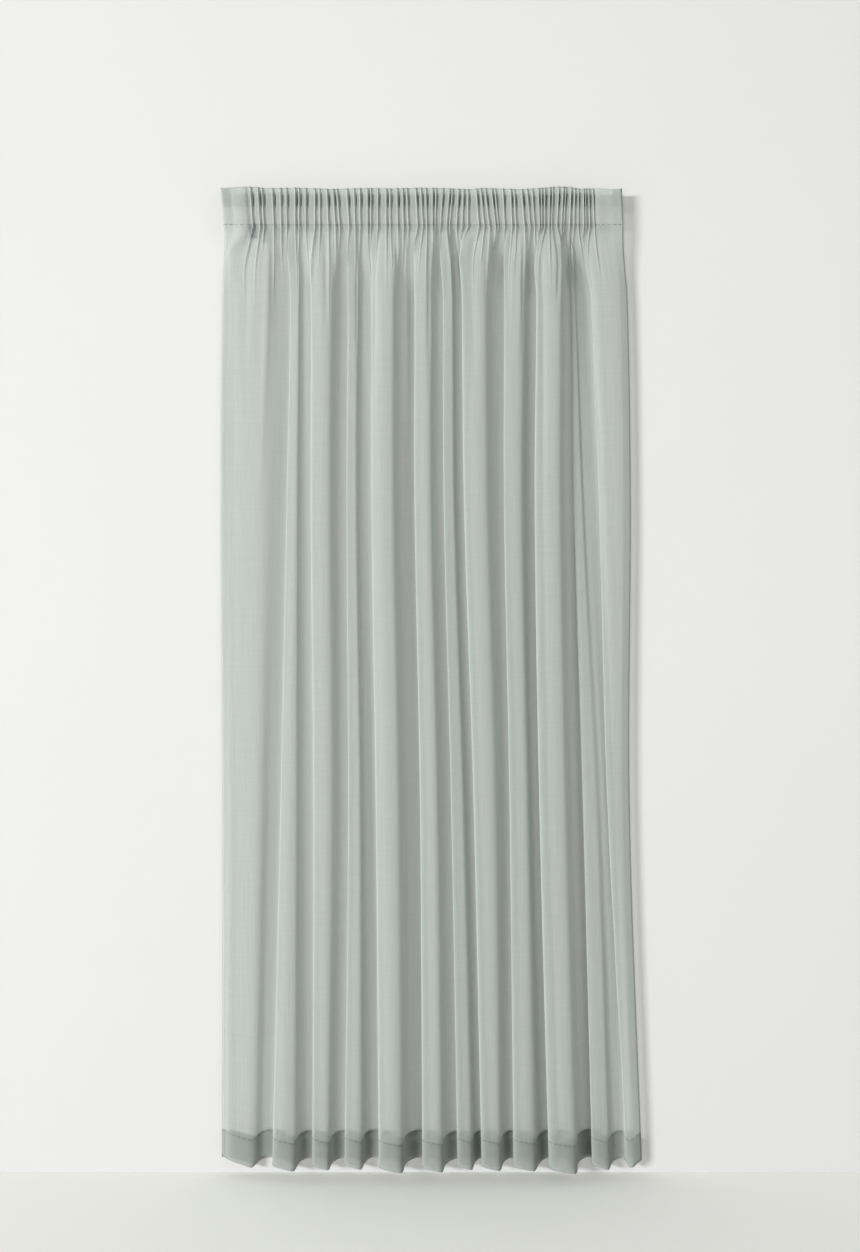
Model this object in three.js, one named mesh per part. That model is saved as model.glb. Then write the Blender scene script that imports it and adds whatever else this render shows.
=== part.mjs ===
// Sheer voile curtain, hung gathered from a pencil pleat heading.
// Millimetres, Z up. The middle of the top edge is at the origin, the room is towards -Y and the
// wall behind the curtain towards +Y.
import * as THREE from "three";

// Voile panel
const CUT_WIDTH = 2100; // flat width from finished side to finished side
const DROP = 2500; // top edge to foot
const VOILE = 1.2; // the sheet
const TURNING = 1.2; // second layer of a hem, folded to the back
const SIDE_HEM = 24;
const FOOT_HEM = 72;
const HEM_STEP = 2; // length over which a hem's second layer begins

// Heading
const TAPE_TOP = 20; // drop of the tape's upper edge, under the frill
const TAPE_MIDDLE = 60;
const STITCH_LINE = 98; // drop of the tape's lower edge
const FLAT_LEFT = 64; // cloth left flat at each end of the gathers
const FLAT_RIGHT = 70;
const PLEATS = 62;
const PLEAT_RISE = 4.6; // half the depth of a pencil pleat
const PLEAT_HALF = 0.2; // half the cloth in a pleat's ridge, share of its pitch; the rest lies flat
const UNEVEN_PITCH = 0.25; // shift of a pleat's edges, share of its cloth
const UNEVEN_RISE = 0.12;
const HEADING_ENDS = { leftTop: -514, leftStitch: -506, rightTop: 514, rightStitch: 518 };

// Tape and label
const TAPE = 0.9;
const TAPE_BEHIND = 6.6; // tape's distance behind the voile, measured straight back
const TAPE_INSET = 8; // from each side of the panel
const LABEL = { x: -432, width: 19, top: 86, length: 38, leaf: 0.8, fold: 2.6, y: 12.9 };

// Folds
const FOLDS_FULL = 290; // drop by which the pencil pleats have run together into the folds
const FOLD_STEPS = 64;
const FOLD_SQUARE = 2; // 1 is a round fold, and more has a flatter front and tighter corners
const NARROW_TOP = 0.4; // the valleys start narrow under the stitches
const FOOT_LEAN = 9; // degrees that the folds lean more to the left at the foot
const FOLD_SHARE = 0.86; // share of the cloth in the folds at their top, the rest being fine gathers
const LEFT_EDGE = 0.07; // the first fold starts at the panel's edge, on the way to its crest
const RIGHT_EDGE = 0.55; // the last one ends at the other edge, a little past its crest

// A list of objects from one row of column names and the rows under it.
function table(columns, ...rows) {
  return rows.map((row) => Object.fromEntries(columns.map((name, i) => [name, row[i]])));
}

// Drops at which the folds table gives a place across the curtain.
const FOLD_LEVELS = { xTop: 290, xUpper: 800, xLower: 1570, xFoot: DROP };

// The valleys between the folds, from the left edge to the right edge. Cut places are on the flat
// cloth, full is the drop at which the valley is as deep as it gets, x places are on the hung cloth,
// xHead at the stitch line, and back is the depth behind the heading.
// For the fold to the valley's left, lean is how many degrees it leans to the left, front how much
// broader its front is than the valleys, and turned how much nearer the room its right side stands
// than its left.
const VALLEYS = table(
  ["cutTop", "cutFoot", "full", "xHead", "xTop", "xUpper", "xLower", "xFoot",
    "back", "lean", "front", "turned"],
  [0, 0, 290, -506, -516, -520, -515, -516, 46, 0, 0, 0],
  [222, 142, 300, -368, -345, -354, -374, -398, 42, 4, 0.4, 0.3],
  [308, 332, 280, -312, -304, -305, -298, -292, 32, 8, 0.17, 0.3],
  [505, 485, 300, -222, -197, -200, -194, -209, 32, 12, 0.06, 0.25],
  [593, 631, 280, -158, -151, -153, -141, -127, 38, 10, 0.15, 0.3],
  [833, 867, 300, -40, -34, -32, -16, -9, 38, 10, 0, 0.35],
  [1010, 1073, 210, 38, 52, 54, 73, 89, 28, 16, 0, 0.25],
  [1114, 1213, 200, 84, 92, 98, 125, 153, 33, 20, 0.15, 0.25],
  [1354, 1388, 200, 184, 198, 202, 222, 228, 32, 22, 0.2, 0.25],
  [1524, 1586, 240, 250, 291, 285, 298, 327, 38, 22, 0.16, 0.25],
  [1805, 1859, 210, 364, 383, 387, 404, 430, 44, 22, 0.15, 0.3],
  [1856, 2017, 200, 386, 401, 426, 472, 509, 30, 20, 0.11, 0.2],
  [2100, 2100, 270, 518, 531, 539, 536, 567, 18, 14, 0.4, 0.15],
);

// Share of the pencil pleats' rise at each drop: loose in the frill, tight at the two cord rows,
// then running out below the stitches.
const PLEAT_SHARES = table(
  ["drop", "share"],
  [0, 0.55],
  [TAPE_TOP, 1],
  [TAPE_MIDDLE, 0.85],
  [STITCH_LINE, 1],
  [115, 0.7],
  [140, 0.35],
  [200, 0.15],
  [FOLDS_FULL, 0],
);

// Bundles of pleats that slant between the cord rows: where, how far round it, and the shift.
const SLANTS = table(
  ["x", "reach", "shift"],
  [-385, 45, 9],
  [-212, 40, 12],
  [-10, 45, 6],
  [75, 45, -8],
  [168, 40, 13],
  [268, 38, 11],
  [368, 42, -11],
);

const lerp = THREE.MathUtils.lerp;
const smooth = THREE.MathUtils.smoothstep;
const clamp = THREE.MathUtils.clamp;

// Height of a broken line through a table's points.
function along(points, xName, yName, x) {
  const next = points.findIndex((p) => p[xName] >= x);
  if (next === 0) return points[0][yName];
  if (next < 0) return points.at(-1)[yName];
  const [a, b] = [points[next - 1], points[next]];
  return lerp(a[yName], b[yName], (x - a[xName]) / (b[xName] - a[xName]));
}

// Height of a smooth curve through [x, y] points.
function curveThrough(points, x) {
  const slope = (i) => {
    const a = points[Math.max(i - 1, 0)];
    const b = points[Math.min(i + 1, points.length - 1)];
    return (b[1] - a[1]) / (b[0] - a[0]);
  };
  const i = clamp(points.filter((p) => p[0] <= x).length - 1, 0, points.length - 2);
  const [x0, y0] = points[i];
  const [x1, y1] = points[i + 1];
  const t = clamp((x - x0) / (x1 - x0), 0, 1);
  const bow0 = (x1 - x0) * slope(i) - (y1 - y0);
  const bow1 = (y1 - y0) - (x1 - x0) * slope(i + 1);
  return lerp(y0, y1, t) + t * (1 - t) * (bow0 * (1 - t) + bow1 * t);
}

// A steady unevenness between -1 and 1 for the pleat numbered i.
function uneven(i) {
  return 0.6 * Math.sin(2.3 * i) + 0.4 * Math.sin(5.1 * i + 1);
}

// Place across the heading of the flat cloth's point u, before the pleats' own depth.
function headingX(u, drop) {
  const down = Math.min(drop / STITCH_LINE, 1);
  const left = lerp(HEADING_ENDS.leftTop, HEADING_ENDS.leftStitch, down);
  const right = lerp(HEADING_ENDS.rightTop, HEADING_ENDS.rightStitch, down);
  const flatEnd = CUT_WIDTH - FLAT_RIGHT;
  const places = [
    { cutTop: 0, xHead: left },
    { cutTop: FLAT_LEFT, xHead: left + FLAT_LEFT },
    ...VALLEYS.slice(1, -1),
    { cutTop: flatEnd, xHead: right - FLAT_RIGHT },
    { cutTop: CUT_WIDTH, xHead: right },
  ];
  const x = along(places, "cutTop", "xHead", u);
  const s = clamp((u - FLAT_LEFT) / (flatEnd - FLAT_LEFT), 0, 1);
  const slant = SLANTS.reduce((sum, n) => sum + n.shift * Math.exp(-(((x - n.x) / n.reach) ** 2)), 0);
  return x + slant * down * s * (1 - s) * 4;
}

// One fold as a bent strip: cloth is its length, span what it covers across, shape the valley on its
// right. Start and end are where on a whole fold the strip lies. Gives points [across, forward] at
// even steps along the cloth.
function foldCurve(cloth, span, shape, lean, narrow, start, end) {
  const tilt = THREE.MathUtils.degToRad(lean);
  const angles = (bend) =>
    Array.from({ length: FOLD_STEPS }, (_, i) => {
      const turn = 2 * Math.PI * lerp(start, end, (i + 0.5) / FOLD_STEPS);
      const phase = turn + (shape.front + narrow) * Math.sin(turn);
      const wave = Math.sin(phase);
      return bend * Math.sign(wave) * Math.abs(wave) ** FOLD_SQUARE - tilt * Math.cos(2 * phase);
    });
  const step = cloth / FOLD_STEPS;
  const reach = (bend) => angles(bend).reduce((sum, a) => sum + step * Math.cos(a), 0);
  let [low, high] = [0, 2.6];
  for (let i = 0; i < 40; i += 1) {
    const middle = (low + high) / 2;
    if (reach(middle) > span) low = middle;
    else high = middle;
  }
  const points = [[0, 0]];
  for (const a of angles(low)) {
    const [x, f] = points.at(-1);
    points.push([x + step * Math.cos(a), f + step * Math.sin(a)]);
  }
  const stretch = span / points.at(-1)[0];
  return points.map(([x, f], i) => [x * stretch, f * (1 + shape.turned * lerp(-1, 1, i / FOLD_STEPS))]);
}

// Every fold at one drop, as strips between neighbouring valleys.
function foldsAt(drop) {
  const down = clamp((drop - FOLD_LEVELS.xTop) / (DROP - FOLD_LEVELS.xTop), 0, 1);
  const valleys = VALLEYS.map((v) => {
    const levels = Object.entries(FOLD_LEVELS).map(([name, level]) => [level, v[name]]);
    const heading = [STITCH_LINE, headingX(v.cutTop, STITCH_LINE)];
    return { cut: lerp(v.cutTop, v.cutFoot, down), x: curveThrough([heading, ...levels], drop), ...v };
  });
  const narrow = NARROW_TOP * (1 - smooth(drop, STITCH_LINE, FOLDS_FULL));
  return valleys.slice(1).map((right, i) => {
    const left = valleys[i];
    const cloth = right.cut - left.cut;
    const start = i === 0 ? LEFT_EDGE : 0;
    const end = i === valleys.length - 2 ? RIGHT_EDGE : 1;
    const folded = cloth * lerp(FOLD_SHARE, 1, down);
    const lean = right.lean + (i > 0 ? FOOT_LEAN * down : 0);
    const curve = foldCurve(folded, right.x - left.x, right, lean, narrow, start, end);
    const rise = left.back - right.back - curve.at(-1)[1];
    return { left, cloth, curve, rise };
  });
}

// Place [x, y] of the flat cloth's point u on the full folds.
function onFold(folds, u) {
  const fold = folds.findLast((f) => u >= f.left.cut) ?? folds[0];
  const t = clamp((u - fold.left.cut) / fold.cloth, 0, 1);
  const step = Math.min(Math.floor(t * FOLD_STEPS), FOLD_STEPS - 1);
  const part = t * FOLD_STEPS - step;
  const [x0, f0] = fold.curve[step];
  const [x1, f1] = fold.curve[step + 1];
  return [fold.left.x + lerp(x0, x1, part), fold.left.back - lerp(f0, f1, part) - fold.rise * t];
}

// Columns of the sheet: flat ends with their hem steps, and the crest and the two feet of every pleat.
function columnsOfCloth() {
  const hemLeft = [0, 12, SIDE_HEM, SIDE_HEM + HEM_STEP, 45, FLAT_LEFT];
  const hemRight = [FLAT_RIGHT, 45, SIDE_HEM + HEM_STEP, SIDE_HEM, 12, 0].map((d) => CUT_WIDTH - d);
  const pitch = (CUT_WIDTH - FLAT_LEFT - FLAT_RIGHT) / PLEATS;
  const columns = hemLeft.map((u) => ({ u, rise: 0 }));
  for (let i = 0; i < PLEATS; i += 1) {
    const crest = FLAT_LEFT + (i + 0.5 + UNEVEN_PITCH * uneven(i)) * pitch;
    const rise = PLEAT_RISE * (1 + UNEVEN_RISE * uneven(i + 0.5));
    columns.push({ u: crest - PLEAT_HALF * pitch, rise: -rise });
    columns.push({ u: crest, rise });
    columns.push({ u: crest + PLEAT_HALF * pitch, rise: -rise });
  }
  return [...columns, ...hemRight.map((u) => ({ u, rise: 0 }))];
}

// Unit vector square to a polyline at its point i, towards the room, as long as its mitre needs.
function towardsRoom(points, i, longest) {
  const at = points[i];
  const before = points[Math.max(i - 1, 0)];
  const after = points[Math.min(i + 1, points.length - 1)];
  const from = at.clone().sub(i > 0 ? before : after).normalize();
  const to = after.clone().sub(i < points.length - 1 ? at : before).normalize();
  if (i === 0) from.copy(to);
  if (i === points.length - 1) to.copy(from);
  const middle = from.clone().add(to).normalize();
  const mitre = Math.min(1 / Math.max(middle.dot(to), 0.01), longest);
  return new THREE.Vector2(middle.y, -middle.x).multiplyScalar(mitre);
}

const LONGEST_MITRE = 3;

// Middle of the sheet at one drop: heading, folds and the run from one into the other.
function sheetLine(columns, drop) {
  const folds = foldsAt(drop);
  const base = columns.map(({ u }) => {
    const blend = smooth(drop, STITCH_LINE, along(VALLEYS, "cutTop", "full", u));
    const [x, y] = onFold(folds, u);
    return new THREE.Vector2(lerp(headingX(u, drop), x, blend), y * blend);
  });
  const share = along(PLEAT_SHARES, "drop", "share", drop);
  return base.map((p, i) => {
    const out = towardsRoom(base, i, 1).multiplyScalar(columns[i].rise * share);
    return p.clone().add(out);
  });
}

// A closed sheet from rows of front and back points.
function closedSheet(rows) {
  const width = rows[0].front.length;
  const corners = [];
  const quad = (a, b, c, d) => corners.push(a, b, c, a, c, d);
  for (let r = 0; r + 1 < rows.length; r += 1) {
    const [up, low] = [rows[r], rows[r + 1]];
    for (let c = 0; c + 1 < width; c += 1) {
      quad(up.front[c], low.front[c], low.front[c + 1], up.front[c + 1]);
      quad(up.back[c], up.back[c + 1], low.back[c + 1], low.back[c]);
    }
    quad(up.front[0], up.back[0], low.back[0], low.front[0]);
    quad(up.front.at(-1), low.front.at(-1), low.back.at(-1), up.back.at(-1));
  }
  const [top, foot] = [rows[0], rows.at(-1)];
  for (let c = 0; c + 1 < width; c += 1) {
    quad(top.front[c], top.front[c + 1], top.back[c + 1], top.back[c]);
    quad(foot.front[c], foot.back[c], foot.back[c + 1], foot.front[c + 1]);
  }
  return new THREE.BufferGeometry().setFromPoints(corners);
}

// Front and back points of a sheet at one drop, with its thickness before and behind its middle.
function sheetRow(line, drop, before, behind) {
  const lift = (amount) =>
    line.map((p, i) => {
      const q = towardsRoom(line, i, LONGEST_MITRE).multiplyScalar(amount(i)).add(p);
      return new THREE.Vector3(q.x, q.y, -drop);
    });
  return { front: lift(before), back: lift((i) => -behind(i)) };
}

function makeMesh(name, geometry, color, roughness) {
  geometry.computeVertexNormals();
  const material = new THREE.MeshStandardMaterial({ color, roughness, metalness: 0 });
  const mesh = new THREE.Mesh(geometry, material);
  mesh.name = name;
  return mesh;
}

// Voile panel with its side hems and foot hem
function voilePanel() {
  const columns = columnsOfCloth();
  const hemTop = DROP - FOOT_HEM;
  const drops = [0, TAPE_TOP, TAPE_MIDDLE, STITCH_LINE, 125, 160, 210, FOLDS_FULL];
  drops.push(480, 800, 1250, 1800, hemTop, hemTop + HEM_STEP, DROP);
  const inSideHem = ({ u }) => u <= SIDE_HEM || u >= CUT_WIDTH - SIDE_HEM;
  const rows = drops.map((drop) => {
    const turned = (i) => drop > hemTop || inSideHem(columns[i]);
    const behind = (i) => VOILE / 2 + (turned(i) ? TURNING : 0);
    return sheetRow(sheetLine(columns, drop), drop, () => VOILE / 2, behind);
  });
  return makeMesh("voile_panel", closedSheet(rows), 0xc3c9c2, 0.85);
}

// Pencil pleat tape across the back of the heading
function headingTape() {
  const inside = ({ u }) => u >= TAPE_INSET && u <= CUT_WIDTH - TAPE_INSET;
  const columns = columnsOfCloth().filter(inside);
  const rows = [TAPE_TOP, TAPE_MIDDLE, STITCH_LINE].map((drop) => {
    const line = sheetLine(columns, drop).map((p) => p.setY(p.y + TAPE_BEHIND));
    return sheetRow(line, drop, () => TAPE / 2, () => TAPE / 2);
  });
  return makeMesh("heading_tape", closedSheet(rows), 0xb4b9b3, 0.9);
}

// Blank label, a folded loop sewn to the back of the tape's lower edge
function sewnLabel() {
  const { x, width, top, length, leaf, fold, y } = LABEL;
  const outer = fold / 2;
  const inner = outer - leaf;
  const bend = length - outer;
  const loop = new THREE.Shape();
  loop.moveTo(-outer, 0);
  loop.lineTo(-outer, -bend);
  loop.absarc(0, -bend, outer, Math.PI, 2 * Math.PI, false);
  loop.lineTo(outer, 0);
  loop.lineTo(inner, 0);
  loop.lineTo(inner, -bend);
  loop.absarc(0, -bend, inner, 2 * Math.PI, Math.PI, true);
  loop.lineTo(-inner, 0);
  const geometry = new THREE.ExtrudeGeometry(loop, { depth: width, bevelEnabled: false, curveSegments: 8 });
  geometry.rotateX(Math.PI / 2);
  geometry.rotateZ(Math.PI / 2);
  geometry.translate(x - width / 2, y + outer, -top);
  return makeMesh("sewn_label", geometry, 0xe6e6e1, 0.6);
}

const curtain = new THREE.Group();
curtain.name = "sheer_voile_curtain";
curtain.add(voilePanel(), headingTape(), sewnLabel());

export default curtain;
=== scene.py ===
"""Sheer voile curtain on a pencil pleat heading, hung a little off a pale floor in front of a pale wall."""

import logging
import math
from dataclasses import dataclass, field
from enum import Enum
from typing import Any, Sequence

import bmesh
import bpy
import numpy as np
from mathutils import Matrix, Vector


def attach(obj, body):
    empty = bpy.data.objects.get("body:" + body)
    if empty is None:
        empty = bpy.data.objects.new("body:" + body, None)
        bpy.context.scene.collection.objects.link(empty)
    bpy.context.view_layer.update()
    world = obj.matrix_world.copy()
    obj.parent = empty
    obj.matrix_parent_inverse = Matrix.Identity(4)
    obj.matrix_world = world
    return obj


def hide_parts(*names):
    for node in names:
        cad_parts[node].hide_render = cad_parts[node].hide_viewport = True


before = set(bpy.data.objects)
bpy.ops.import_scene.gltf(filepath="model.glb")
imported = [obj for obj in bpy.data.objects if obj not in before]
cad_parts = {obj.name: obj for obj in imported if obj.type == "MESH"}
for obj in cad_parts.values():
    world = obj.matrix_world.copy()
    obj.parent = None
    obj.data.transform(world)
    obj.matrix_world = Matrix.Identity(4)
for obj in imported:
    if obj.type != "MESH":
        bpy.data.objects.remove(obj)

LOG = logging.getLogger("curtain")

MM = 0.001
UV_NAME = "cloth"


class Slot(str, Enum):
    """Material slots of the part's record."""

    VOILE = "voile"
    TAPE = "tape"
    LABEL = "label"


# Sizes of the cloth, in millimetres

CUT_WIDTH = 2100.0
DROP = 2500.0
SIDE_HEM = 24.0
FOOT_HEM = 72.0
FOOT_TUCK = 13.0
HEADING_TURN = 46.0

# Gaps between the layers of a turned edge, in millimetres

TURN_GAP = 1.3
EDGE_GAP = 0.8 * TURN_GAP
HEM_GAP = 1.3 * TURN_GAP
TUCK_GAP = 0.6 * TURN_GAP
SIDE_GAP = 0.5 * TURN_GAP

# Sizes of the heading, in millimetres. The sides' two places are those at the top edge and the stitch line.

TAPE_TOP = 20.0
TAPE_MIDDLE = 60.0
STITCH_LINE = 98.0
FLAT_LEFT = 64.0
FLAT_RIGHT = 70.0
HEADING_LEFT = (-514.0, -506.0)
HEADING_RIGHT = (514.0, 518.0)

# Pencil pleats: rise, run below the stitch line and depth of the clefts in millimetres, half width as a share of
# a pleat's cloth, and the clefts' place and width in half widths. The uneven values are shares.

PLEATS = 62
PLEAT_RISE = 4.6
PLEAT_HALF = 0.14
PLEAT_RUN = 190.0
CLEFT_AWAY = 2.0
CLEFT_WIDTH = 0.8
CLEFT_DEPTH = 17.0
CLEFT_MEAN = 0.65
UNEVEN_PITCH = 0.34
UNEVEN_RISE = 0.12
UNEVEN_RUN = 0.8
UNEVEN_CLEFT = 0.35

# Columns of points: on a pleat's ridge in half widths, and on the flat cloth between two pleats in shares

RIDGE_COLUMNS = (-1.0, -0.5, -0.2, 0.2, 0.5, 1.0, 1.5, 2.0)
FLAT_COLUMNS = (0.2, 0.4, 0.6, 0.8)

# Folds: drops in millimetres, the outer folds' part of a whole fold in shares, the lean in degrees, the bend in
# radians, and the share of the cloth that lies in the folds at their top

FOLDS_FULL = 290.0
FOLD_LEVELS = (290.0, 800.0, 1570.0, DROP)
SETTLED = 700.0
FOLD_STEPS = 96
FOLD_SQUARE = 2.0
LEFT_EDGE = 0.07
RIGHT_EDGE = 0.55
NARROW_TOP = 0.4
FOOT_LEAN = 9.0
FOLD_SHARE = 0.86
SHARPEST_BEND = 2.6
BEND_TRIES = 40

# Creases run out where a fold turns from the room: none at the first share of squareness, all at the second.
# Along its own length a crease is full from the first share on, and runs out from the second.

STEEP = (0.2, 0.75)
CREASE_FULL = 0.08
CREASE_RUNS_OUT = 0.4


@dataclass(frozen=True)
class Valley:
    """One valley between two folds, or a free side edge, in millimetres.

    cut_top and cut_foot are places on the flat cloth, full is the drop at which the valley is as deep as it
    gets, x_head is the place across the heading, x_top to x_foot those at the fold levels, and back is the depth
    behind the heading. For the fold on the valley's left, lean is how many degrees it leans to the left, front
    how much broader than the valleys its front is, and turned how much nearer the room its right side stands
    than its left one.
    """

    cut_top: float
    cut_foot: float
    full: float
    x_head: float
    x_top: float
    x_upper: float
    x_lower: float
    x_foot: float
    back: float
    lean: float
    front: float
    turned: float

    @property
    def places(self) -> tuple[float, float, float, float]:
        """Places across the curtain at the fold levels."""
        return self.x_top, self.x_upper, self.x_lower, self.x_foot


VALLEYS: tuple[Valley, ...] = (
    # cut_top, cut_foot, full, x_head, x_top, x_upper, x_lower, x_foot, back, lean, front, turned
    Valley(0, 0, 160, -506, -516, -520, -515, -516, 46, 0, 0, 0),
    Valley(222, 142, 300, -354, -345, -354, -374, -398, 42, 4, 0.4, 0.3),
    Valley(308, 332, 280, -306, -304, -305, -298, -292, 32, 8, 0.17, 0.3),
    Valley(505, 485, 300, -204, -197, -200, -194, -209, 32, 12, 0.06, 0.25),
    Valley(593, 631, 280, -153, -151, -153, -141, -127, 38, 10, 0.15, 0.3),
    Valley(833, 867, 300, -36, -34, -32, -16, -9, 38, 10, 0, 0.35),
    Valley(1010, 1073, 210, 47, 52, 54, 73, 89, 28, 16, 0, 0.25),
    Valley(1114, 1213, 200, 90, 92, 98, 125, 153, 33, 20, 0.15, 0.25),
    Valley(1354, 1388, 200, 195, 198, 202, 222, 228, 32, 22, 0.2, 0.25),
    Valley(1524, 1586, 240, 281, 291, 285, 298, 327, 38, 22, 0.16, 0.25),
    Valley(1805, 1859, 210, 377, 383, 387, 404, 430, 44, 22, 0.15, 0.3),
    Valley(1856, 2017, 200, 395, 401, 426, 472, 509, 30, 20, 0.11, 0.2),
    Valley(2100, 2100, 270, 518, 531, 539, 536, 567, 18, 14, 0.4, 0.15),
)


@dataclass(frozen=True)
class Slant:
    """A bundle of pleats that slants between the cord rows: its middle, reach and shift in millimetres."""

    x: float
    reach: float
    shift: float


SLANTS: tuple[Slant, ...] = (
    # x, reach, shift
    Slant(-385, 45, 9),
    Slant(-212, 40, 12),
    Slant(-10, 45, 6),
    Slant(75, 45, -8),
    Slant(168, 40, 13),
    Slant(268, 38, 11),
    Slant(368, 42, -11),
)

# Share of the clefts' depth at each drop: the upper cord draws the cloth in beside every pleat.
CLEFT_SHARES: tuple[tuple[float, float], ...] = (
    (9.0, 0.0),
    (16.0, 0.8),
    (28.0, 1.0),
    (38.0, 0.7),
    (47.0, 0.1),
    (84.0, 0.0),
    (STITCH_LINE - 6, 0.5),
    (STITCH_LINE + 4, 0.0),
)

# How far the frill's top edge stands above its mean height at places across, in millimetres.
TOP_EDGE: tuple[tuple[float, float], ...] = (
    (-515, 1.0),
    (-470, 4.0),
    (-445, 5.5),
    (-425, 5.0),
    (-400, 1.5),
    (-320, 3.0),
    (-232, -0.5),
    (-144, 2.0),
    (-80, 1.0),
    (-3, 3.0),
    (60, 1.5),
    (125, -1.0),
    (155, 2.5),
    (195, 1.0),
    (253, -1.0),
    (301, 2.0),
    (345, 6.0),
    (381, 5.0),
    (403, 0.5),
    (440, 1.0),
    (496, -2.0),
    (515, 0.5),
)

# Share of the pencil pleats' rise at each drop: loose in the frill, tight at the cord rows, then looser.
PLEAT_SHARES: tuple[tuple[float, float], ...] = (
    (0.0, 0.75),
    (TAPE_TOP, 1.0),
    (TAPE_MIDDLE, 0.65),
    (STITCH_LINE, 1.0),
    (120.0, 0.75),
    (200.0, 0.6),
    (FOLDS_FULL, 0.5),
)


@dataclass(frozen=True)
class Crease:
    """A soft ridge (positive rise) or trough laid along one fold.

    start and end are shares of the fold's cloth, 0 at its left valley and 1 at its right one. drop_start and
    drop_end, width and rise are in millimetres.
    """

    fold: int
    start: float
    end: float
    drop_start: float
    drop_end: float
    width: float
    rise: float


CREASES: tuple[Crease, ...] = (
    # fold, start, end, drop_start, drop_end, width, rise
    Crease(1, 0.42, 0.38, 105, 560, 12, -5),
    Crease(1, 0.70, 0.62, 100, 900, 10, 5),
    Crease(2, 0.20, 0.30, 100, 420, 9, 5),
    Crease(2, 0.62, 0.60, 100, 380, 9, -5),
    Crease(3, 0.30, 0.34, 100, 520, 10, 5),
    Crease(3, 0.55, 0.60, 105, 420, 10, -6),
    Crease(4, 0.28, 0.40, 100, 430, 10, 5),
    Crease(4, 0.72, 0.66, 100, 520, 10, -5),
    Crease(5, 0.35, 0.40, 100, 620, 12, -5),
    Crease(5, 0.95, 0.98, 105, 700, 14, 8),
    Crease(6, 0.25, 0.30, 100, 420, 9, 5),
    Crease(6, 0.66, 0.60, 100, 560, 10, -5),
    Crease(7, 0.60, 0.62, 100, 420, 9, 4),
    Crease(8, 0.46, 0.50, 105, 620, 14, -9),
    Crease(8, 0.30, 0.34, 100, 480, 9, 4),
    Crease(9, 0.36, 0.42, 100, 420, 10, -6),
    Crease(9, 0.62, 0.56, 100, 520, 10, 4),
    Crease(10, 0.40, 0.44, 160, 900, 8, -6),
    Crease(10, 0.66, 0.58, 100, 360, 10, -6),
    Crease(11, 0.55, 0.60, 100, 520, 9, -4),
    Crease(12, 0.18, 0.62, 110, 760, 16, -9),
    Crease(2, 0.0, 0.0, 94, 300, 20, -7),
    Crease(3, 0.0, 0.0, 94, 300, 18, -7),
    Crease(4, 0.0, 0.0, 94, 300, 22, -7),
    Crease(5, 0.0, 0.0, 94, 300, 18, -7),
    Crease(6, 0.0, 0.0, 94, 300, 26, -7),
    Crease(7, 0.0, 0.0, 94, 300, 20, -7),
    Crease(8, 0.0, 0.0, 94, 300, 20, -7),
    Crease(9, 0.0, 0.0, 94, 300, 24, -7),
    Crease(10, 0.0, 0.0, 94, 300, 24, -7),
    Crease(11, 0.0, 0.0, 94, 300, 26, -7),
    Crease(12, 0.0, 0.0, 94, 300, 16, -5),
)

# How far the foot stands above its mean height over each fold's cloth, from its left valley to its right one.
FOOT_EDGE: tuple[tuple[float, float], ...] = (
    (0.0, 7.0),
    (0.25, 4.0),
    (0.45, -3.0),
    (0.66, -13.0),
    (0.8, -2.0),
    (1.0, 7.0),
)
FOOT_EDGE_FROM = 1900.0


def linear(colour: str) -> tuple[float, float, float, float]:
    """Turn an sRGB hex colour into the linear colour that shaders take.

    Args:
        colour: Six hex digits after a hash sign.

    Returns:
        Red, green, blue and an alpha of 1.
    """
    parts = [int(colour[i : i + 2], 16) / 255 for i in (1, 3, 5)]
    red, green, blue = (p / 12.92 if p <= 0.04045 else ((p + 0.055) / 1.055) ** 2.4 for p in parts)
    return red, green, blue, 1.0


def smooth_step(value: Any, low: float, high: float) -> Any:
    """Ease from 0 at low to 1 at high.

    Args:
        value: A number or an array.
        low: Where the ease starts.
        high: Where it ends.

    Returns:
        The eased share, shaped like value.
    """
    t = np.clip((value - low) / (high - low), 0.0, 1.0)
    return t * t * (3 - 2 * t)


def curve_through(xs: Sequence[float], ys: Sequence[float], x: float) -> float:
    """Height of a smooth curve through points.

    Args:
        xs: Rising places of the points.
        ys: Their heights.
        x: Where the curve is read.

    Returns:
        The height at x.
    """
    last = len(xs) - 1
    i = min(max(sum(1 for p in xs if p <= x) - 1, 0), last - 1)

    def slope(k: int) -> float:
        """Slope of the curve at the point numbered k."""
        a, b = max(k - 1, 0), min(k + 1, last)
        return (ys[b] - ys[a]) / (xs[b] - xs[a])

    width, rise = xs[i + 1] - xs[i], ys[i + 1] - ys[i]
    t = min(max((x - xs[i]) / width, 0.0), 1.0)
    bow_start = width * slope(i) - rise
    bow_end = rise - width * slope(i + 1)
    return ys[i] + rise * t + t * (1 - t) * (bow_start * (1 - t) + bow_end * t)


def read_table(table: Sequence[tuple[float, float]], place: Any) -> Any:
    """Read a table of places and values, straight between its rows.

    Args:
        table: Rows of a place and its value.
        place: Where it is read, a number or an array.

    Returns:
        The value, shaped like place.
    """
    places, values = zip(*table)
    return np.interp(place, places, values)


def uneven(i: Any) -> Any:
    """A steady unevenness between -1 and 1 for the pleat numbered i.

    Args:
        i: A pleat's number, or an array of them.

    Returns:
        The unevenness, shaped like i.
    """
    return 0.6 * np.sin(2.3 * i) + 0.4 * np.sin(5.1 * i + 1)


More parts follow.
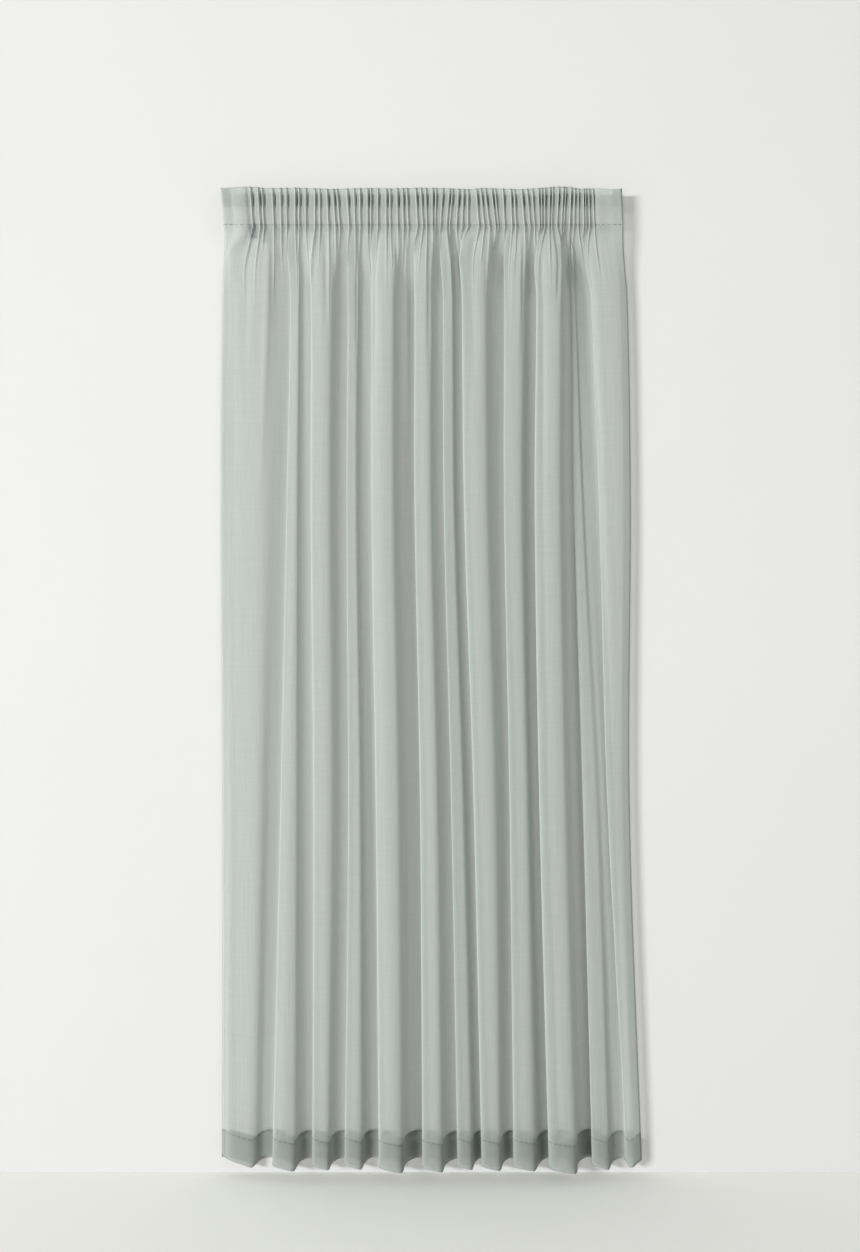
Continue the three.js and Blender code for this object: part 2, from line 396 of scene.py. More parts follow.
@dataclass
class HungCloth:
    """The curtain's hung shape: where each point of the flat cloth lies, in millimetres."""

    pleat_half: float = field(init=False)
    pleat_crests: np.ndarray = field(init=False)
    pleat_rises: np.ndarray = field(init=False)
    pleat_runs: np.ndarray = field(init=False)

    def __post_init__(self) -> None:
        """Lay out the ridges of the pencil pleats along the flat cloth."""
        number = np.arange(PLEATS)
        pitch = (CUT_WIDTH - FLAT_LEFT - FLAT_RIGHT) / PLEATS
        self.pleat_half = PLEAT_HALF * pitch
        self.pleat_crests = FLAT_LEFT + (number + 0.5 + UNEVEN_PITCH * uneven(number)) * pitch
        self.pleat_rises = PLEAT_RISE * (1 + UNEVEN_RISE * uneven(number + 0.5))
        self.pleat_runs = PLEAT_RUN * (1 + UNEVEN_RUN * uneven(number + 0.2))

    def gathered_columns(self) -> np.ndarray:
        """Columns over the gathered cloth, close together on each pleat's ridge.

        Returns:
            Places on the flat cloth, without the gathers' two ends.
        """
        ridge = np.array(RIDGE_COLUMNS) * self.pleat_half
        starts = np.concatenate(([FLAT_LEFT], self.pleat_crests + ridge[-1]))
        ends = np.concatenate((self.pleat_crests + ridge[0], [CUT_WIDTH - FLAT_RIGHT]))
        flats = starts[:, None] + (ends - starts)[:, None] * np.array(FLAT_COLUMNS)
        ridges = self.pleat_crests[:, None] + ridge
        return np.unique(np.concatenate((ridges.reshape(-1), flats.reshape(-1))))

    def heading_x(self, u: np.ndarray, drop: float) -> np.ndarray:
        """Places across the heading, before the pleats' own depth.

        Args:
            u: Places on the flat cloth.
            drop: Distance below the top edge.

        Returns:
            Places across the hung heading.
        """
        down = min(drop / STITCH_LINE, 1.0)
        left = HEADING_LEFT[0] + (HEADING_LEFT[1] - HEADING_LEFT[0]) * down
        right = HEADING_RIGHT[0] + (HEADING_RIGHT[1] - HEADING_RIGHT[0]) * down
        flat_end = CUT_WIDTH - FLAT_RIGHT
        inner = VALLEYS[1:-1]
        cuts = (0.0, FLAT_LEFT, *(v.cut_top for v in inner), flat_end, CUT_WIDTH)
        places = (left, left + FLAT_LEFT, *(v.x_head for v in inner), right - FLAT_RIGHT, right)
        x = np.interp(u, cuts, places)
        s = np.clip((u - FLAT_LEFT) / (flat_end - FLAT_LEFT), 0.0, 1.0)
        slant = sum(n.shift * np.exp(-(((x - n.x) / n.reach) ** 2)) for n in SLANTS)
        return x + slant * down * s * (1 - s) * 4

    @staticmethod
    def fold_curve(
        cloth: float, span: float, valley: Valley, lean: float, narrow: float, part: tuple[float, float]
    ) -> tuple[np.ndarray, np.ndarray]:
        """One fold as a bent strip.

        Args:
            cloth: The strip's length.
            span: What it covers across.
            valley: The valley on the fold's right, which gives its shape.
            lean: How far it leans to the left here, in degrees.
            narrow: How much narrower the valleys are here than the table says.
            part: Where on a whole fold, from valley to valley, the strip starts and ends.

        Returns:
            Places across and forward at even steps along the strip.
        """
        start, end = part
        turn = 2 * math.pi * (start + (end - start) * (np.arange(FOLD_STEPS) + 0.5) / FOLD_STEPS)
        phase = turn + (valley.front + narrow) * np.sin(turn)
        wave = np.sign(np.sin(phase)) * np.abs(np.sin(phase)) ** FOLD_SQUARE
        tilt = math.radians(lean) * np.cos(2 * phase)
        step = cloth / FOLD_STEPS
        low, high = 0.0, SHARPEST_BEND
        for _ in range(BEND_TRIES):
            middle = (low + high) / 2
            reach = step * np.cos(middle * wave - tilt).sum()
            low, high = (middle, high) if reach > span else (low, middle)
        angle = low * wave - tilt
        across = np.concatenate(([0.0], np.cumsum(step * np.cos(angle))))
        forward = np.concatenate(([0.0], np.cumsum(step * np.sin(angle))))
        return across * (span / across[-1]), forward * (1 + valley.turned * np.linspace(-1, 1, FOLD_STEPS + 1))

    def valley_cuts(self, drop: float) -> list[float]:
        """Where the valleys lie on the flat cloth.

        Args:
            drop: Distance below the top edge.

        Returns:
            One place for each valley.
        """
        down = min(max((drop - FOLD_LEVELS[0]) / (DROP - FOLD_LEVELS[0]), 0.0), 1.0)
        return [v.cut_top + (v.cut_foot - v.cut_top) * down for v in VALLEYS]

    def on_folds(self, u: np.ndarray, drop: float) -> tuple[np.ndarray, np.ndarray]:
        """Places of the flat cloth's points on the full folds.

        Args:
            u: Places on the flat cloth.
            drop: Distance below the top edge.

        Returns:
            Places across and back.
        """
        cuts = self.valley_cuts(drop)
        down = max((drop - FOLD_LEVELS[0]) / (DROP - FOLD_LEVELS[0]), 0.0)
        levels = (STITCH_LINE, *FOLD_LEVELS)
        heads = self.heading_x(np.array([v.cut_top for v in VALLEYS]), STITCH_LINE)
        places = [curve_through(levels, (head, *v.places), drop) for v, head in zip(VALLEYS, heads)]
        narrow = NARROW_TOP * (1 - smooth_step(drop, STITCH_LINE, FOLDS_FULL))
        x, y = np.zeros_like(u), np.zeros_like(u)
        steps = np.linspace(0, 1, FOLD_STEPS + 1)
        last = len(VALLEYS) - 2
        for i, (left, right) in enumerate(zip(VALLEYS, VALLEYS[1:])):
            cloth, span = cuts[i + 1] - cuts[i], places[i + 1] - places[i]
            part = (LEFT_EDGE if i == 0 else 0.0, RIGHT_EDGE if i == last else 1.0)
            lean = right.lean + FOOT_LEAN * down * min(i, 1)
            folded = cloth * (FOLD_SHARE + (1 - FOLD_SHARE) * down)
            across, forward = self.fold_curve(folded, span, right, lean, narrow, part)
            rise = left.back - right.back - forward[-1]
            here = (u >= cuts[i]) & ((u < cuts[i + 1]) | (i == last))
            t = np.clip((u[here] - cuts[i]) / cloth, 0.0, 1.0)
            x[here] = places[i] + np.interp(t, steps, across)
            y[here] = left.back - np.interp(t, steps, forward) - rise * t
        return x, y

    def pleats(self, u: np.ndarray, drop: float) -> np.ndarray:
        """Rise of the pencil pleats towards the room: narrow ridges with flat cloth between.

        Args:
            u: Places on the flat cloth.
            drop: Distance below the top edge.

        Returns:
            The rise at each place.
        """
        nearest = np.abs(u[:, None] - self.pleat_crests).argmin(axis=1)
        away = np.abs(u - self.pleat_crests[nearest]) / self.pleat_half
        ridge = 2 * np.cos(np.clip(away, 0, 1) * math.pi / 2) ** 2 - 1
        from_left = np.clip((u - FLAT_LEFT) / self.pleat_half, 0, 1)
        from_right = np.clip((CUT_WIDTH - FLAT_RIGHT - u) / self.pleat_half, 0, 1)
        below = 1 - smooth_step(drop, STITCH_LINE, STITCH_LINE + self.pleat_runs)
        share = read_table(PLEAT_SHARES, drop) * below[nearest]
        rise = self.pleat_rises[nearest] * ridge * from_left * from_right * share
        depths = CLEFT_MEAN + UNEVEN_CLEFT * uneven(np.arange(PLEATS) + 0.3)
        depths *= CLEFT_DEPTH * read_table(CLEFT_SHARES, drop)
        clefts = (u[:, None] - self.pleat_crests) / self.pleat_half - CLEFT_AWAY
        return rise - (depths * np.exp(-((clefts / CLEFT_WIDTH) ** 2))).max(axis=1)

    def creases(self, u: np.ndarray, drop: float) -> np.ndarray:
        """Rise of the soft ridges and troughs laid on the folds.

        Args:
            u: Places on the flat cloth.
            drop: Distance below the top edge.

        Returns:
            The rise at each place.
        """
        cuts = self.valley_cuts(drop)
        total = np.zeros_like(u)
        for c in CREASES:
            t = (drop - c.drop_start) / (c.drop_end - c.drop_start)
            if not 0 < t < 1:
                continue
            fade = smooth_step(t, 0, CREASE_FULL) * (1 - smooth_step(t, CREASE_RUNS_OUT, 1))
            share = c.start + (c.end - c.start) * t
            middle = cuts[c.fold - 1] + share * (cuts[c.fold] - cuts[c.fold - 1])
            total += c.rise * fade * np.exp(-(((u - middle) / c.width) ** 2))
        return total

    @staticmethod
    def square_to(u: np.ndarray, x: np.ndarray, y: np.ndarray) -> tuple[np.ndarray, np.ndarray]:
        """Unit vectors square to a line, towards the room.

        Args:
            u: Places on the flat cloth.
            x: Places across along the line.
            y: Places back along the line.

        Returns:
            The vectors' two parts.
        """
        dx, dy = np.gradient(x, u), np.gradient(y, u)
        length = np.maximum(np.hypot(dx, dy), 1e-9)
        return dy / length, -dx / length

    def line(self, u: np.ndarray, drop: float, behind: float = 0.0) -> np.ndarray:
        """The cloth at one drop.

        Args:
            u: Places on the flat cloth.
            drop: Distance below the top edge.
            behind: How far behind the sheet the line lies, as a turned layer does.

        Returns:
            A row of points in millimetres.
        """
        fold_x, fold_y = self.on_folds(u, drop)
        full = np.interp(u, [v.cut_top for v in VALLEYS], [v.full for v in VALLEYS])
        t = np.clip((drop - STITCH_LINE) / (full - STITCH_LINE), 0.0, 1.0)
        # The folds set in at once under the stitch line and settle slowly.
        blend = (smooth_step(t, 0, 1) + t * (2 - t)) / 2
        x = self.heading_x(u, drop) * (1 - blend) + fold_x * blend
        y = fold_y * blend
        nx, ny = self.square_to(u, x, y)
        rise = (self.pleats(u, drop) + self.creases(u, drop)) * smooth_step(-ny, *STEEP)
        x, y = x + nx * rise, y + ny * rise
        nx, ny = self.square_to(u, x, y)
        straight = 1 - smooth_step(drop, STITCH_LINE, FOLDS_FULL)
        x, y = x - nx * behind * (1 - straight), y + behind * straight - ny * behind * (1 - straight)
        lift = read_table(TOP_EDGE, x) * (1 - smooth_step(drop, 0.0, TAPE_TOP * 2))
        cuts = self.valley_cuts(drop)
        share = np.interp(u, cuts, np.arange(len(cuts))) % 1
        lift += read_table(FOOT_EDGE, share) * smooth_step(drop, FOOT_EDGE_FROM, DROP)
        return np.stack((x, y, lift - drop), axis=1)


def add_node(
    tree: bpy.types.NodeTree,
    kind: str,
    settings: dict[Any, Any] | None = None,
    links: dict[Any, bpy.types.NodeSocket] | None = None,
) -> bpy.types.Node:
    """Add a node with its settings and links.

    Args:
        tree: The tree it goes into.
        kind: The node's type name.
        settings: Attributes of the node, or values of its input sockets by name or number.
        links: Output sockets for its input sockets by name or number.

    Returns:
        The new node.
    """
    node = tree.nodes.new(kind)
    for name, value in (settings or {}).items():
        if isinstance(name, str) and hasattr(node, name):
            setattr(node, name, value)
        else:
            node.inputs[name].default_value = value
    for name, socket in (links or {}).items():
        tree.links.new(socket, node.inputs[name])
    return node


def new_material(name: str) -> tuple[bpy.types.Material, bpy.types.NodeTree, bpy.types.Node]:
    """Make an empty node material.

    Args:
        name: What the real material is.

    Returns:
        The material, its tree and its output node.
    """
    material = bpy.data.materials.new(name)
    material.use_nodes = True
    tree = material.node_tree
    tree.nodes.clear()
    return material, tree, add_node(tree, "ShaderNodeOutputMaterial")


@dataclass(frozen=True)
class SheerFinish:
    """A thin woven cloth that light passes both between and through the threads of.

    open_share is the share of light that passes between the threads head on, and glow the share of the rest
    that comes through the threads themselves. streak and streak_length are the width and length of a run of
    uneven threads. seams are the places of the rows of stitches down the flat cloth, and hem_from is where its
    foot hem starts. A cloth without seams has no hem either. hem_cover is how much less of the hem is open, and
    hem_shade_colour is a darker thread colour over the hem: painted shade that stands for the shade among the
    hem's doubled layers. The sizes are in millimetres.
    """

    name: str
    colour: str
    streak_colour: str
    open_share: float
    glow: float
    streak: float
    streak_length: float
    unevenness: float
    seams: tuple[float, ...] = ()
    seam_width: float = 3.0
    seam_stitch: float = 14.0
    stitch_share: float = 0.7
    seam_colour: str = "#8b938f"
    hem_from: float = math.inf
    hem_cover: float = 0.12
    # Painted shade: the foot hem's threads take this darker colour to stand for the shade among its doubled
    # layers.
    hem_shade_colour: str = "#a4aaa6"
    thread_roughness: float = 0.6
    least_facing: float = 0.35

    def stitched(self, tree: bpy.types.NodeTree) -> bpy.types.NodeSocket:
        """Rows of stitches across the flat cloth, drawn as coarse as they need to be to show at all.

        Args:
            tree: The material's tree.

        Returns:
            A socket that is 1 on a stitch.
        """
        uv = add_node(tree, "ShaderNodeUVMap", {"uv_map": UV_NAME})
        axes = add_node(tree, "ShaderNodeSeparateXYZ", {}, {0: uv.outputs["UV"]})
        settings = {"operation": "WRAP", 1: self.seam_stitch * MM, 2: 0.0}
        beat = add_node(tree, "ShaderNodeMath", settings, {0: axes.outputs["X"]}).outputs[0]
        settings = {"operation": "LESS_THAN", 1: self.stitch_share * self.seam_stitch * MM}
        stitch = add_node(tree, "ShaderNodeMath", settings, {0: beat}).outputs[0]
        total = None
        for seam in self.seams:
            settings = {"operation": "COMPARE", 1: seam * MM, 2: self.seam_width / 2 * MM}
            row = add_node(tree, "ShaderNodeMath", settings, {0: axes.outputs["Y"]}).outputs[0]
            links = {0: row} if total is None else {0: row, 1: total}
            total = add_node(tree, "ShaderNodeMath", {"operation": "ADD", 1: 0.0}, links).outputs[0]
        return add_node(tree, "ShaderNodeMath", {"operation": "MULTIPLY"}, {0: total, 1: stitch}).outputs[0]

    def in_hem(self, tree: bpy.types.NodeTree) -> bpy.types.NodeSocket:
        """Where the cloth lies double in the foot hem.

        Args:
            tree: The material's tree.

        Returns:
            A socket that is 1 in the hem.
        """
        uv = add_node(tree, "ShaderNodeUVMap", {"uv_map": UV_NAME})
        down = add_node(tree, "ShaderNodeSeparateXYZ", {}, {0: uv.outputs["UV"]}).outputs["Y"]
        settings = {"operation": "GREATER_THAN", 1: self.hem_from * MM}
        return add_node(tree, "ShaderNodeMath", settings, {0: down}).outputs[0]

    def streaks(self, tree: bpy.types.NodeTree, across: float, along: float) -> bpy.types.NodeSocket:
        """Uneven threads that run one way on the flat cloth.

        Args:
            tree: The material's tree.
            across: Size of the pattern across the cloth, in millimetres.
            along: Size of the pattern down the cloth, in millimetres.

        Returns:
            A socket with the pattern, about 0.5 on average.
        """
        uv = add_node(tree, "ShaderNodeUVMap", {"uv_map": UV_NAME})
        scale = (1 / (across * MM), 1 / (along * MM), 1)
        places = add_node(tree, "ShaderNodeMapping", {"Scale": scale}, {"Vector": uv.outputs["UV"]})
        settings = {"noise_dimensions": "2D", "Scale": 1.0, "Detail": 2.0, "Roughness": 0.6}
        return add_node(tree, "ShaderNodeTexNoise", settings, {"Vector": places.outputs[0]}).outputs["Fac"]

    def material(self) -> bpy.types.Material:
        """Build the cloth's material: matt threads, light through them, and gaps that close up edge on.

        Returns:
            The material.
        """
        material, tree, output = new_material(self.name)
        down = self.streaks(tree, self.streak, self.streak_length)
        over = self.streaks(tree, self.streak_length, self.streak)
        both = add_node(tree, "ShaderNodeMath", {"operation": "ADD"}, {0: down, 1: over}).outputs[0]
        centred = add_node(tree, "ShaderNodeMath", {"operation": "SUBTRACT", 1: 1.0}, {0: both}).outputs[0]
        settings = {"operation": "MULTIPLY_ADD", 1: self.unevenness, 2: self.open_share}
        gaps = add_node(tree, "ShaderNodeMath", settings, {0: centred}).outputs[0]
        settings = {"data_type": "RGBA", 6: linear(self.colour), 7: linear(self.streak_colour)}
        tint = add_node(tree, "ShaderNodeMix", settings, {0: down}).outputs[2]
        if self.seams:
            hem = self.in_hem(tree)
            # Painted shade: the hem's threads are tinted darker, standing for the shade among its doubled
            # layers.
            settings = {"data_type": "RGBA", 7: linear(self.hem_shade_colour)}
            tint = add_node(tree, "ShaderNodeMix", settings, {0: hem, 6: tint}).outputs[2]
            settings = {"data_type": "RGBA", 7: linear(self.seam_colour)}
            tint = add_node(tree, "ShaderNodeMix", settings, {0: self.stitched(tree), 6: tint}).outputs[2]
            settings = {"operation": "MULTIPLY_ADD", 1: -self.hem_cover}
            gaps = add_node(tree, "ShaderNodeMath", settings, {0: hem, 2: gaps}).outputs[0]
        facing = add_node(tree, "ShaderNodeLayerWeight", {"Blend": 0.5}).outputs["Facing"]
        upright = add_node(tree, "ShaderNodeMath", {"operation": "SUBTRACT", 0: 1.0}, {1: facing}).outputs[0]
        settings = {"operation": "MAXIMUM", 1: self.least_facing}
        least = add_node(tree, "ShaderNodeMath", settings, {0: upright}).outputs[0]
        path = add_node(tree, "ShaderNodeMath", {"operation": "DIVIDE", 0: 1.0}, {1: least}).outputs[0]
        passed = add_node(tree, "ShaderNodeMath", {"operation": "POWER"}, {0: gaps, 1: path}).outputs[0]
        settings = {"Roughness": self.thread_roughness}
        threads = add_node(tree, "ShaderNodeBsdfDiffuse", settings, {"Color": tint}).outputs[0]
        through = add_node(tree, "ShaderNodeBsdfTranslucent", {}, {"Color": tint}).outputs[0]
        cloth = add_node(tree, "ShaderNodeMixShader", {0: self.glow}, {1: threads, 2: through}).outputs[0]
        clear = add_node(tree, "ShaderNodeBsdfTransparent").outputs[0]
        mixed = add_node(tree, "ShaderNodeMixShader", {}, {0: passed, 1: cloth, 2: clear}).outputs[0]
        tree.links.new(mixed, output.inputs["Surface"])
        return material


@dataclass(frozen=True)
class PaleFinish:
    """A pale matt surface with a faint cloudiness, such as painted plaster.

    cloud is the size of the cloudiness in millimetres, and one_sided hides the surface's back.
    """

    name: str
    colour: str
    shade_colour: str
    cloud: float
    one_sided: bool
    roughness: float = 0.9
    gloss: float = 0.15

    def material(self) -> bpy.types.Material:
        """Build the surface's material.

        Returns:
            The material.
        """
        material, tree, output = new_material(self.name)
        places = add_node(tree, "ShaderNodeTexCoord").outputs["Object"]
        settings = {"Scale": 1 / (self.cloud * MM), "Detail": 3.0}
        cloud = add_node(tree, "ShaderNodeTexNoise", settings, {"Vector": places}).outputs["Fac"]
        settings = {"data_type": "RGBA", 6: linear(self.colour), 7: linear(self.shade_colour)}
        tint = add_node(tree, "ShaderNodeMix", settings, {0: cloud}).outputs[2]
        settings = {"Roughness": self.roughness, "Specular IOR Level": self.gloss}
        paint = add_node(tree, "ShaderNodeBsdfPrincipled", settings, {"Base Color": tint}).outputs[0]
        if self.one_sided:
            back = add_node(tree, "ShaderNodeNewGeometry").outputs["Backfacing"]
            clear = add_node(tree, "ShaderNodeBsdfTransparent").outputs[0]
            paint = add_node(tree, "ShaderNodeMixShader", {}, {0: back, 1: paint, 2: clear}).outputs[0]
        tree.links.new(paint, output.inputs["Surface"])
        return material


# Where the rows of stitches and the foot hem lie down the flat cloth, in millimetres

HEM_TOP = HEADING_TURN + DROP - FOOT_HEM
HEADING_SEAM = HEADING_TURN + STITCH_LINE - 6
HEM_SEAM = HEM_TOP + 3

# Plain woven voile of fine yarn: a matt grey-green veil that the wall shows through, denser where the cloth
# turns edge on or lies double. Its foot hem is tinted darker as painted shade for the shade among its doubled
# layers. Its uneven yarn is drawn coarser than real, so that it shows.
VOILE_FINISH = SheerFinish(
    name="sheer grey-green voile",
    colour="#bcc4be",
    streak_colour="#b3bbb5",
    open_share=0.55,
    glow=0.15,
    streak=5.0,
    streak_length=160.0,
    unevenness=0.04,
    seams=(HEADING_SEAM, HEM_SEAM),
    hem_from=HEM_TOP,
)

# Open woven polyester tape: white and half clear, seen as a paler band behind the heading.
TAPE_FINISH = SheerFinish(
    name="woven heading tape",
    colour="#ece8eb",
    streak_colour="#e2dfe1",
    open_share=0.62,
    glow=0.3,
    streak=3.0,
    streak_length=40.0,
    unevenness=0.06,
)

# Close woven satin ribbon: nearly opaque, a small blue-grey patch behind the voile.
LABEL_FINISH = SheerFinish(
    name="blank satin label",
    colour="#6c7a83",
    streak_colour="#65737c",
    open_share=0.03,
    glow=0.2,
    streak=2.0,
    streak_length=20.0,
    unevenness=0.02,
)

# Matt emulsion on plaster: a quiet light grey that takes the curtain's soft shadow.
WALL_FINISH = PaleFinish("painted plaster", "#a7a7a6", "#a5a5a4", 900.0, True)

# Matt floor paint: a warm white that the foot's shadow falls on.
FLOOR_FINISH = PaleFinish("pale painted floor", "#fdfdf9", "#f9f9f4", 600.0, False)


@dataclass
class Piece:
    """A piece of the curtain: a grid of cloth points made into one thin sheet."""

    cloth: HungCloth
    name: str
    node: str
    slot: Slot

    def sheet(self, points: np.ndarray, flat: np.ndarray) -> bpy.types.Object:
        """Make a sheet of rows and columns of points.

        Args:
            points: Rows by columns by three, in millimetres.
            flat: The same points on the flat cloth, rows by columns by two, in millimetres.

        Returns:
            The new object, smooth shaded, with the flat cloth in metres as its UV map.
        """
        rows, columns = points.shape[:2]
        mesh = bpy.data.meshes.new(self.name)
        work = bmesh.new()
        bmesh.ops.create_grid(work, x_segments=columns - 1, y_segments=rows - 1, size=1, calc_uvs=False)
        layer = work.loops.layers.uv.new(UV_NAME)
        spots = points.reshape(-1, 3) * MM
        flats = flat.reshape(-1, 2) * MM
        for vert, spot in zip(work.verts, spots):
            vert.co = spot
        work.verts.index_update()
        for face in work.faces:
            face.smooth = True
            for loop in face.loops:
                loop[layer].uv = flats[loop.vert.index]
        work.to_mesh(mesh)
        work.free()
        piece = bpy.data.objects.new(self.name, mesh)
        bpy.context.scene.collection.objects.link(piece)
        return piece

    def fit(self, piece: bpy.types.Object, finish: SheerFinish) -> None:
        """Give a piece its material and its place in the frame.

        Args:
            piece: The object.
            finish: What it is made of.
        """
        piece.data.materials.append(finish.material())
        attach(piece, "root")
        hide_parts(self.node)
        LOG.info("%s: %d faces", piece.name, len(piece.data.polygons))


@dataclass
class VoilePanel(Piece):
    """The voile with its turned heading, side hems and foot hem, all one cloth."""

    def columns(self) -> tuple[np.ndarray, np.ndarray]:
        """Columns across the flat cloth, from the turned left hem to the turned right one.

        Returns:
            Places on the flat cloth, and which of them lie on a turned side hem.
        """
        turned = np.array([SIDE_HEM, 16.0, 8.0, 2.0])
        left = np.array([0.0, 6.0, 14.0, SIDE_HEM, 34.0, 44.0, 54.0, FLAT_LEFT])
        right = CUT_WIDTH - np.array([FLAT_RIGHT, 61.0, 52.0, 43.0, 33.0, SIDE_HEM, 14.0, 6.0, 0.0])
        front = np.concatenate((left, self.cloth.gathered_columns(), right))
        places = np.concatenate((turned, front, CUT_WIDTH - turned[::-1]))
        folded = np.zeros(len(places), dtype=bool)
        folded[: len(turned)] = True
        folded[-len(turned) :] = True
        return places, folded

    def drops(self) -> list[tuple[float, float]]:
        """Rows down the cloth, from the turned heading over the front to the tucked hem.

        Returns:
            For each row, its drop and how far behind the front layer it lies.
        """
        hem_top = DROP - FOOT_HEM
        turn = [(d, TURN_GAP) for d in np.linspace(HEADING_TURN, 6, 9)] + [(1.5, EDGE_GAP)]
        heading = np.linspace(0, STITCH_LINE, 17)
        run = np.linspace(STITCH_LINE, FOLDS_FULL, 31)[1:]
        settle = np.linspace(FOLDS_FULL, SETTLED, 19)[1:]
        body = np.linspace(SETTLED, hem_top, 33)[1:]
        hem = np.linspace(hem_top, DROP, 8)[1:]
        front = [(d, 0.0) for d in np.concatenate((heading, run, settle, body, hem))]
        hem_back = [(DROP - 1.0, EDGE_GAP)] + [(d, HEM_GAP) for d in np.linspace(DROP - 4, hem_top, 7)]
        tuck = [(d, TUCK_GAP) for d in np.linspace(hem_top + 1, hem_top + FOOT_TUCK, 3)]
        return turn + front + hem_back + tuck

    def build(self) -> bpy.types.Object:
        """Lay the cloth out row by row.

        Returns:
            The panel.
        """
        places, folded = self.columns()
        rows = self.drops()
        points = np.empty((len(rows), len(places), 3))
        flat = np.empty((len(rows), len(places), 2))
        front = places[~folded]
        count = int(folded.sum() // 2)
        run = 0.0
        for i, (drop, behind) in enumerate(rows):
            line = self.cloth.line(front, drop, behind)
            back = self.cloth.line(front, drop, behind + SIDE_GAP)
            left = [np.interp(places[:count], front, back[:, k]) for k in range(3)]
            right = [np.interp(places[-count:], front, back[:, k]) for k in range(3)]
            points[i] = np.concatenate((np.stack(left, 1), line, np.stack(right, 1)))
            run += abs(drop - rows[max(i - 1, 0)][0])
            flat[i, :, 0] = np.concatenate((-places[:count], front, 2 * CUT_WIDTH - places[-count:]))
            flat[i, :, 1] = run
        return self.sheet(points, flat)

    def dress(self, piece: bpy.types.Object) -> None:
        """Args:
            piece: The panel.
        """
        self.fit(piece, VOILE_FINISH)


@dataclass
class HeadingTape(Piece):
    """The pencil pleat tape across the back of the heading."""

    inset: float = 8.0
    behind: float = 3.0
    top: float = TAPE_TOP - 4
    foot: float = STITCH_LINE - 5

    def build(self) -> bpy.types.Object:
        """Lay the tape along the back of the pleats.

        Returns:
            The tape.
        """
        left = np.linspace(self.inset, FLAT_LEFT, 6)
        right = np.linspace(CUT_WIDTH - FLAT_RIGHT, CUT_WIDTH - self.inset, 8)
        u = np.concatenate((left, self.cloth.gathered_columns(), right))
        drops = np.linspace(self.top, self.foot, 12)
        points = np.stack([self.cloth.line(u, d, self.behind) for d in drops])
        flat = np.stack([np.stack((u, np.full_like(u, d)), 1) for d in drops])
        return self.sheet(points, flat)

    def dress(self, piece: bpy.types.Object) -> None:
        """Args:
            piece: The tape.
        """
        self.fit(piece, TAPE_FINISH)


@dataclass
class SewnLabel(Piece):
    """The small blank label, a loop of ribbon that hangs from the tape's lower edge."""

    x: float = -432.0
    y: float = 14.2
    width: float = 19.0
    top: float = 86.0
    length: float = 38.0
    fold: float = 1.0

    def build(self) -> bpy.types.Object:
        """Lay the ribbon down, round and up again.

        Returns:
            The label.
        """
        across = np.linspace(-0.5, 0.5, 7) * self.width
        bend = np.linspace(0, math.pi, 7)
        foot = self.top + self.length - self.fold
        down = [(-self.fold, d) for d in np.linspace(self.top, foot, 9)]
        turn = [(-self.fold * math.cos(a), foot + self.fold * math.sin(a)) for a in bend[1:-1]]
        path = down + turn + [(self.fold, d) for _, d in reversed(down)]
        points = np.array([[(self.x + a, self.y + y, -d) for a in across] for y, d in path])
        run = np.concatenate(([0], np.cumsum([math.dist(p, q) for p, q in zip(path, path[1:])])))
        flat = np.array([[(a, r) for a in across] for r in run])
        return self.sheet(points, flat)

    def dress(self, piece: bpy.types.Object) -> None:
        """Args:
            piece: The label.
        """
        self.fit(piece, LABEL_FINISH)


@dataclass
class Stage:
    """A pale floor under the curtain and a pale wall behind it, in metres."""

    floor_z: float = -2.536
    wall_y: float = 0.056
    reach: float = 9.0
    height: float = 5.5

    @staticmethod
    def plane(name: str, corners: Sequence[Sequence[float]], finish: PaleFinish) -> None:
        """Make a flat stage piece.

        Args:
            name: The piece's name.
            corners: Its four corners in metres, the front or lower two first, each pair from left to right.
            finish: What it is made of.
        """
        mesh = bpy.data.meshes.new(name)
        work = bmesh.new()
        bmesh.ops.create_grid(work, x_segments=1, y_segments=1, size=1)
        for vert, corner in zip(work.verts, corners):
            vert.co = corner
        work.normal_update()
        work.to_mesh(mesh)
        work.free()
        piece = bpy.data.objects.new(name, mesh)
        bpy.context.scene.collection.objects.link(piece)
        piece.data.materials.append(finish.material())
        LOG.info("%s in place", name)

    def build(self) -> None:
        """Set up the floor and the wall."""
        r, z, y = self.reach, self.floor_z, self.wall_y
        self.plane("floor", ((-r, -r, z), (r, -r, z), (-r, r, z), (r, r, z)), FLOOR_FINISH)
        top = z + self.height
        self.plane("wall", ((-r, y, z), (r, y, z), (-r, y, top), (r, y, top)), WALL_FINISH)


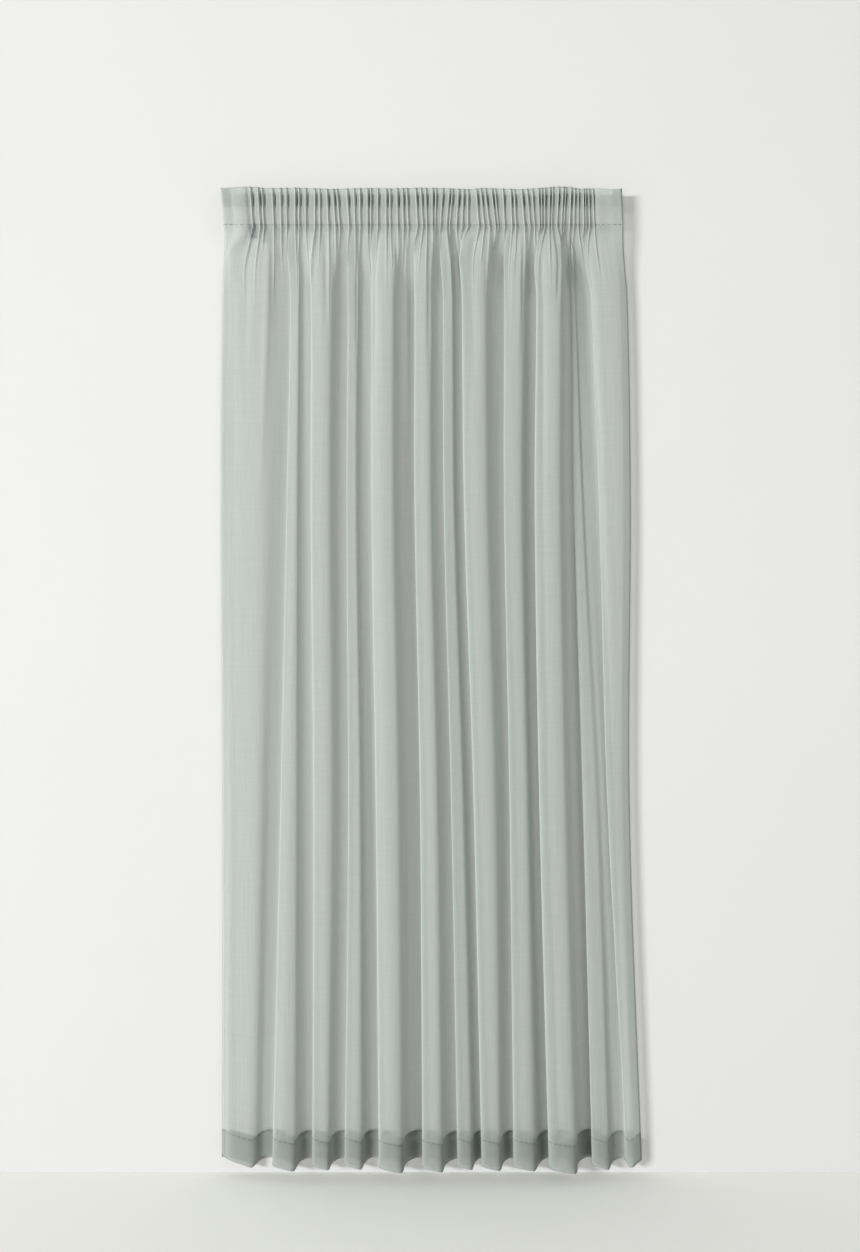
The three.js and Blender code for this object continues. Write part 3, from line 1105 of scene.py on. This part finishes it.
@dataclass
class Lamp:
    """A soft area lamp: where it stands and what it looks at, its width and height, and its power in watts.

    only names the pieces that it lights. A lamp without such names lights them all.
    """

    name: str
    place: tuple[float, float, float]
    target: tuple[float, float, float]
    size: tuple[float, float]
    power: float
    only: tuple[str, ...] = ()

    def build(self) -> None:
        """Put the lamp up."""
        light = bpy.data.lights.new(self.name, "AREA")
        light.shape = "RECTANGLE"
        light.size, light.size_y = self.size
        light.energy = self.power
        lamp = bpy.data.objects.new(self.name, light)
        lamp.location = self.place
        lamp.rotation_euler = (Vector(self.target) - Vector(self.place)).to_track_quat("-Z", "Y").to_euler()
        bpy.context.scene.collection.objects.link(lamp)
        if self.only:
            lit = bpy.data.collections.new(self.name)
            for name in self.only:
                lit.objects.link(bpy.data.objects[name])
            lamp.light_linking.receiver_collection = lit


@dataclass
class Studio:
    """Soft light from the front left, a pale surround, and the camera.

    distance is the camera's from the curtain, eye its place across and up, and lens its focal length in
    millimetres. Places are in metres.
    """

    distance: float = 4.4
    eye: tuple[float, float] = (0.0224, -1.1204)
    lens: float = 49.4
    sky: str = "#f4f4f2"
    sky_strength: float = 0.2
    lamps: tuple[Lamp, ...] = (
        Lamp("key_light", (-9.85, -12.6, 0.9), (0.0, 0.0, -1.2), (5.0, 1.2), 3330.0),
        Lamp("fill_light", (2.6, -4.2, 0.3), (0.0, 0.0, -1.3), (2.4, 2.4), 44.0),
        Lamp("wall_light", (-0.6, -9.0, -1.0), (0.0, 0.0, -1.0), (2.4, 2.4), 534.0, ("wall",)),
    )

    def build(self) -> None:
        """Set up the lamps, the surround and the camera."""
        for lamp in self.lamps:
            lamp.build()
        world = bpy.data.worlds.new("surround")
        world.use_nodes = True
        backdrop = world.node_tree.nodes["Background"]
        backdrop.inputs["Color"].default_value = linear(self.sky)
        backdrop.inputs["Strength"].default_value = self.sky_strength
        scene = bpy.context.scene
        scene.world = world
        scene.view_settings.view_transform = "Standard"
        camera = bpy.data.cameras.new("camera")
        camera.lens = self.lens
        eye = bpy.data.objects.new("camera", camera)
        eye.location = (self.eye[0], -self.distance, self.eye[1])
        eye.rotation_euler = (math.pi / 2, 0.0, 0.0)
        scene.collection.objects.link(eye)
        scene.camera = eye
        LOG.info("lights and camera in place")


def main() -> None:
    """Build the curtain, its stage and its light."""
    logging.basicConfig(level=logging.INFO, format="%(name)s: %(message)s")
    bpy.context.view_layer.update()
    cloth = HungCloth()
    parts = (
        VoilePanel(cloth, "voile", "voile_panel", Slot.VOILE),
        HeadingTape(cloth, "tape", "heading_tape", Slot.TAPE),
        SewnLabel(cloth, "label", "sewn_label", Slot.LABEL),
    )
    for part in parts:
        part.dress(part.build())
    Stage().build()
    Studio().build()
    bpy.context.view_layer.update()


if __name__ == "__main__":
    main()
